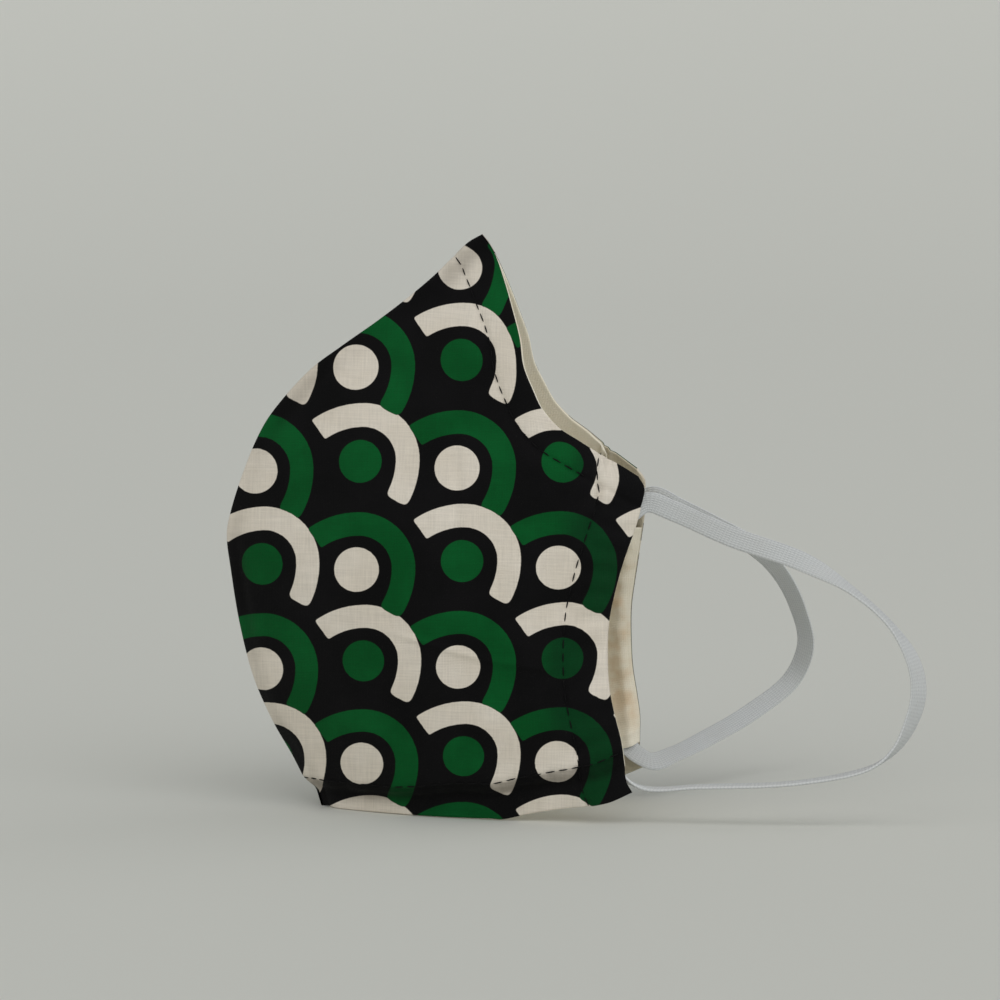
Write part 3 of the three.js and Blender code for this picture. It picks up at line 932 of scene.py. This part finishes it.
def plain_weave():
    """Plain weave: warp and weft threads pass over each other in turn, each a rounded ridge, with
    thick and thin stretches of yarn. Height feeds bump, Yarn varies the colour from thread to
    thread."""
    takes = {"Cloth": None, "Pitch": COTTON_YARN}
    w, take, give = effect("plain_weave", takes, ("Height", "Yarn"))
    cloth = w.split(take["Cloth"])
    ways = [w.times(w.math("DIVIDE", cloth[k], take["Pitch"]), math.pi) for k in (0, 1)]
    warp, weft = (w.math("ABSOLUTE", w.math("SINE", way)) for way in ways)
    turn = w.times(*(w.math("SINE", way) for way in ways))
    over = w.ramp(turn, -0.25, 0.25)
    ridge = w.plus(w.times(warp, over), w.times(weft, w.rest(over)))
    slubs = [w.noise(w.stretch(take["Cloth"], s), 1.0, 2.0) for s in (WARP_SLUBS, WEFT_SLUBS)]
    yarn = w.plus(*(w.times(slub, 0.5) for slub in slubs))
    w.feed(give["Height"], w.plus(w.times(ridge, 0.7), w.times(yarn, 0.6)))
    w.feed(give["Yarn"], yarn)
    return w.tree


def new_finish(name):
    """A new material and the sockets of its Principled shader."""
    material = bpy.data.materials.new(name)
    material.use_nodes = True
    shader = next(n for n in material.node_tree.nodes if n.type == "BSDF_PRINCIPLED")
    return material, shader.inputs


def cloth_finish(name):
    """A new material with its wiring, its shader's sockets and its cloth coordinates."""
    material, shader = new_finish(name)
    w = Wiring(material.node_tree)
    return material, w, shader, w.add("ShaderNodeUVMap", uv_map="cloth").outputs[0]


def rgb(red, green, blue):
    """Linear colour of a display colour given from 0 to 255."""
    values = [c / 255 for c in (red, green, blue)]
    return (*[c / 12.92 if c <= 0.04045 else ((c + 0.055) / 1.055) ** 2.4 for c in values], 1.0)


def set_cloth(shader, rough, sheen, specular=0.28):
    """Constants of a cloth finish."""
    shader["Roughness"].default_value = rough
    shader["Sheen Weight"].default_value = sheen
    shader["Sheen Roughness"].default_value = 0.45
    shader["Specular IOR Level"].default_value = specular


def bumped(w, shader, height, distance, strength):
    """Feeds a height to the shader's normal, distance metres deep."""
    bump = w.add("ShaderNodeBump")
    bump.inputs["Distance"].default_value = distance
    bump.inputs["Strength"].default_value = strength
    w.feed(bump.inputs["Height"], height)
    w.feed(shader["Normal"], bump.outputs[0])


def printed_cotton(weave, pattern):
    """Cotton printed black, green and off-white: the ink thins a little from thread to thread;
    painted shade darkens the green along the ear edge, the fold below the hem stitch and the dip
    beside the front seam."""
    material, w, shader, cloth = cloth_finish("printed_cotton")
    woven = w.group(weave, Cloth=cloth, Pitch=COTTON_YARN)
    inks = w.group(pattern, Cloth=cloth)
    fade = w.ramp(w.noise(cloth, 60.0, 4.0), 0.35, 0.7)
    black = w.mix(fade, rgb(7, 7, 8), rgb(13, 12, 14))
    green = w.mix(fade, rgb(0, 78, 32), rgb(4, 90, 40))
    # Painted shade: the green darkened towards the ear edge, where the strip curls away from the
    # light.
    ear_shade = w.ramp(w.attribute("to_ear"), 12.0, 21.0, 0.8, 0.0)
    green = w.mix(ear_shade, green, rgb(3, 52, 24))
    white = w.mix(fade, rgb(225, 216, 202), rgb(234, 226, 214))
    colour = w.mix(inks["White"], black, white)
    colour = w.mix(inks["Green"], colour, green)
    unprinted = w.mix(0.16, rgb(222, 212, 190), colour)
    colour = w.mix(w.ramp(w.attribute("reverse"), 0.35, 0.65), colour, unprinted)
    thin = w.ramp(woven["Yarn"], 0.3, 0.75, 0.82, 1.16, "LINEAR")
    shade = w.add("ShaderNodeCombineColor")
    for socket in shade.inputs[:3]:
        w.feed(socket, thin)
    colour = w.mix(0.7, colour, w.mix(1.0, colour, shade.outputs[0], "MULTIPLY"))
    # Painted shade: the colour darkened to about half in the fold below the hem stitch and in the
    # dip beside the front seam, in patches.
    patches = w.ramp(w.noise(cloth, 220.0, 4.0), 0.25, 0.6, 0.72, 1.0)
    painted_shade = w.times(w.attribute("painted_shade"), patches)
    shaded_colour = w.mix(1.0, colour, (0.5, 0.49, 0.48, 1), "MULTIPLY")
    w.feed(shader["Base Color"], w.mix(painted_shade, colour, shaded_colour))
    set_cloth(shader, 0.82, 0.02, 0.12)
    w.feed(shader["Roughness"], w.ramp(woven["Yarn"], 0.2, 0.8, 0.78, 0.9, "LINEAR"))
    bumped(w, shader, woven["Height"], 0.00012, 0.7)
    return material


def cream_cotton(weave):
    """Unprinted cream cotton, with tan painted shade in blotches along the tunnel by the ear edge.
    """
    material, w, shader, cloth = cloth_finish("cream_lining")
    woven = w.group(weave, Cloth=cloth, Pitch=LINING_YARN)
    patch = w.ramp(w.noise(cloth, 45.0, 4.0), 0.3, 0.75)
    colour = w.mix(patch, rgb(250, 243, 224), rgb(253, 249, 236))
    # Painted shade: tan blotches within 11 mm of the ear edge, where the lining lies in shade
    # inside the mask.
    blotch = w.ramp(w.noise(cloth, 75.0, 3.0), 0.42, 0.6, 0.1, 1.0)
    tan_shade = w.times(w.ramp(w.attribute("to_ear"), 3.0, 11.0, 1.0, 0.0), blotch)
    colour = w.mix(tan_shade, colour, rgb(228, 197, 157))
    dark = w.mix(w.ramp(woven["Yarn"], 0.3, 0.75), rgb(240, 229, 203), colour)
    w.feed(shader["Base Color"], w.mix(0.4, colour, dark))
    set_cloth(shader, 0.86, 0.2)
    bumped(w, shader, woven["Height"], 0.00014, 0.7)
    return material


def white_elastic():
    """Flat braid: yarns cross in rows of narrow chevrons over lengthwise ribs, with painted shade
    in the grooves.
    """
    material, w, shader, cloth = cloth_finish("white_elastic")
    over, onward = w.split(cloth)[:2]
    rib = w.math("FRACT", w.math("DIVIDE", over, ELASTIC_WIDTH * MM / ELASTIC_RIBS))
    lane = w.math("ABSOLUTE", w.minus(rib, 0.5))
    way = w.plus(w.math("DIVIDE", onward, CHEVRON), lane)
    yarn = w.math("ABSOLUTE", w.math("SINE", w.times(way, math.pi)))
    groove = w.ramp(lane, 0.36, 0.5, 1.0, 0.0)
    height = w.times(w.plus(w.times(yarn, 0.5), 0.5), groove)
    # Painted shade: the colour follows the braid's height, darker in the grooves between the ribs
    # and between the yarns.
    groove_shaded_tone = w.mix(height, rgb(190, 193, 195), rgb(215, 218, 219))
    soil = w.times(w.ramp(w.noise(cloth, 90.0, 3.0), 0.3, 0.8), 0.12)
    w.feed(shader["Base Color"], w.mix(soil, groove_shaded_tone, rgb(198, 194, 185)))
    set_cloth(shader, 0.7, 0.25)
    bumped(w, shader, height, 0.00016, 0.8)
    return material


def black_thread():
    """Twisted sewing thread: slanting plies show as light and dark along each stitch, with painted
    shade in the grooves between them.
    """
    material, w, shader, cloth = cloth_finish("black_thread")
    ply = w.add("ShaderNodeTexWave", wave_type="BANDS", bands_direction="DIAGONAL")
    w.feed(ply.inputs["Vector"], cloth)
    ply.inputs["Scale"].default_value = 900.0
    # Painted shade: the same bands as the bump, darker between the plies.
    w.feed(shader["Base Color"], w.mix(ply.outputs["Fac"], rgb(4, 4, 5), rgb(12, 11, 13)))
    set_cloth(shader, 0.65, 0.02, 0.14)
    bumped(w, shader, ply.outputs["Fac"], 0.00004, 0.6)
    return material


# ---- the mask

weave_effect = plain_weave()
print_effect = hook_print(hook_cell())
COTTON = printed_cotton(weave_effect, print_effect)
LINING = cream_cotton(weave_effect)
ELASTIC = white_elastic()
THREAD = black_thread()

printed, lined = outer_layer(), lining_layer()
above_table = min(grid[..., 2].min() for grid in printed[:2])
for grid in (*printed[:2], *lined[:2]):
    grid[..., 2] -= above_table
for hand, is_left, loop_rows in (("left", True, LEFT_LOOP), ("right", False, RIGHT_LOOP)):
    panel = cloth_piece("printed_panel_" + hand, printed[0], printed[1], is_left, COTTON)
    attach(panel, "root")
    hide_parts("outer_panel_" + hand)
    thread = stitching(
        "topstitch_" + hand, printed[0], -printed[2], is_left, THREAD, TOPSTITCH_END
    )
    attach(thread, "root")
    inside = cloth_piece("cream_panel_" + hand, lined[0], lined[1], is_left, LINING)
    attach(inside, "root")
    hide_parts("lining_" + hand)
    bobbin = stitching(
        "bobbin_stitch_" + hand, lined[1], lined[2], is_left, THREAD, BOBBIN_END
    )
    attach(bobbin, "root")
    strap = ear_loop("elastic_" + hand, loop_rows, is_left, ELASTIC)
    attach(strap, "root")
    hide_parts("ear_loop_" + hand)


# ---- stage

DISH_LEVEL = 2.6
DISH_WIDE = 3.8
DISH_HIGH = 1.0
DISH_POINTS = 161


def studio():
    """Pale floor that rises into a backdrop on every side: squares of points drawn out to
    circles, level up to DISH_LEVEL from the middle, then up a quarter of a flat oval."""
    line = np.linspace(-1, 1, DISH_POINTS)
    x, y = np.meshgrid(line, line)
    share = np.maximum(np.abs(x), np.abs(y))
    reach = share * (DISH_LEVEL + DISH_WIDE * np.pi / 2)
    bend = np.clip((reach - DISH_LEVEL) / DISH_WIDE, 0, np.pi / 2)
    out = np.minimum(reach, DISH_LEVEL) + DISH_WIDE * np.sin(bend)
    scale = out / np.maximum(np.hypot(x, y), 1e-9)
    flat = np.stack([x * scale, y * scale, DISH_HIGH * (1 - np.cos(bend))], -1).reshape(-1, 3)
    material, shader = new_finish("pale_table")
    shader["Base Color"].default_value = rgb(219, 220, 214)
    shader["Roughness"].default_value = 0.8
    shader["Specular IOR Level"].default_value = 0.2
    faces = grid_faces(DISH_POINTS, DISH_POINTS)[:, ::-1]
    floor = make_piece("floor", flat, faces, flat[:, :2], material)


def soft_sun(name, towards, power, colour, spread):
    """A sun whose rays come from towards, softened over spread degrees."""
    lamp = bpy.data.lights.new(name, "SUN")
    lamp.energy = power
    lamp.color = colour
    lamp.angle = math.radians(spread)
    holder = bpy.data.objects.new(name, lamp)
    holder.rotation_euler = Vector(towards).to_track_quat("Z", "Y").to_euler()
    bpy.context.scene.collection.objects.link(holder)


CAMERA_TURN = math.radians(6.5)
CAMERA_RISE = math.radians(5.0)
CAMERA_AWAY = 1.2
CAMERA_SHOWS = 0.24913
CAMERA_SENSOR = 36.0
WORLD_STRENGTH = 0.31
LOOK_AT = Vector((NOSE_X + 67.03 * MM, MIDDLE_Y + 11.93 * MM, 75.94 * MM))


def photo_camera():
    """Perspective camera at the photo's angle, set back from the point that it looks at. Its
    lens is the sensor times the distance over the breadth shown there."""
    lens = bpy.data.cameras.new("camera")
    lens.sensor_width = CAMERA_SENSOR
    lens.lens = CAMERA_SENSOR * CAMERA_AWAY / CAMERA_SHOWS
    camera = bpy.data.objects.new("camera", lens)
    level = math.cos(CAMERA_RISE)
    back = (math.sin(CAMERA_TURN) * level, -math.cos(CAMERA_TURN) * level, math.sin(CAMERA_RISE))
    back = Vector(back)
    camera.location = LOOK_AT + back * CAMERA_AWAY
    camera.rotation_euler = back.to_track_quat("Z", "Y").to_euler()
    bpy.context.scene.collection.objects.link(camera)
    bpy.context.scene.camera = camera


def world_light():
    """Even light from all round."""
    world = bpy.data.worlds.new("studio")
    world.use_nodes = True
    shade = next(n for n in world.node_tree.nodes if n.type == "BACKGROUND")
    shade.inputs["Color"].default_value = (0.98, 1.0, 0.99, 1)
    shade.inputs["Strength"].default_value = WORLD_STRENGTH
    bpy.context.scene.world = world


bpy.context.scene.view_settings.view_transform = "Standard"
studio()
photo_camera()
world_light()
soft_sun("key", (-0.55, -1.0, 0.95), power=0.61, colour=(1.0, 0.985, 0.95), spread=50)
soft_sun("fill", (0.7, -1.0, 0.85), power=0.89, colour=(0.99, 0.99, 1.0), spread=60)
soft_sun("rear", (1.0, 0.35, 0.6), power=0.42, colour=(1.0, 0.995, 0.98), spread=65)
